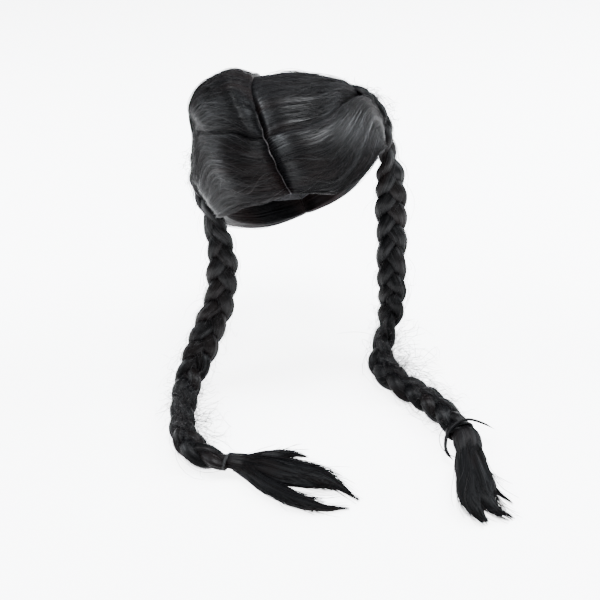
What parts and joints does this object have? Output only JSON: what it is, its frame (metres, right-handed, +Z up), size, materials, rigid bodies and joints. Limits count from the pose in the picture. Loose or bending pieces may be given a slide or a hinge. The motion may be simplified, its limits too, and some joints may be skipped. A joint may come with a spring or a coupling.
{
  "type": "wig",
  "caption": "Long black wig with a centre parting, combed hair rolls and braided plaits that end in tied, loose tails.",
  "frame": {"origin": "top of the head hollow, where the wig sits on the head that wears it", "axes": "+Z up, forehead towards -Y, the wearer's left towards +X; the plaits' ends rest at z = -0.28"},
  "size_m": [0.3251, 0.4443, 0.3022],
  "materials": {
    "hair": "soft sheen of fine synthetic hair",
    "net": "matt stretch net",
    "elastic": "matt"
  },
  "bodies": {
    "root": {"cap": "net", "parting_seam": "net", "left_front_roll": "hair", "left_crown_roll": "hair", "left_back_fall": "hair", "left_plait_strand_1": "hair", "left_plait_strand_2": "hair", "left_plait_strand_3": "hair", "left_tail": "hair", "left_tie": "hair", "right_front_roll": "hair", "right_crown_roll": "hair", "right_back_fall": "hair", "right_plait_strand_1": "hair", "right_plait_strand_2": "hair", "right_plait_strand_3": "hair", "right_tail": "hair", "right_tie": "elastic"}
  },
  "joints": []
}
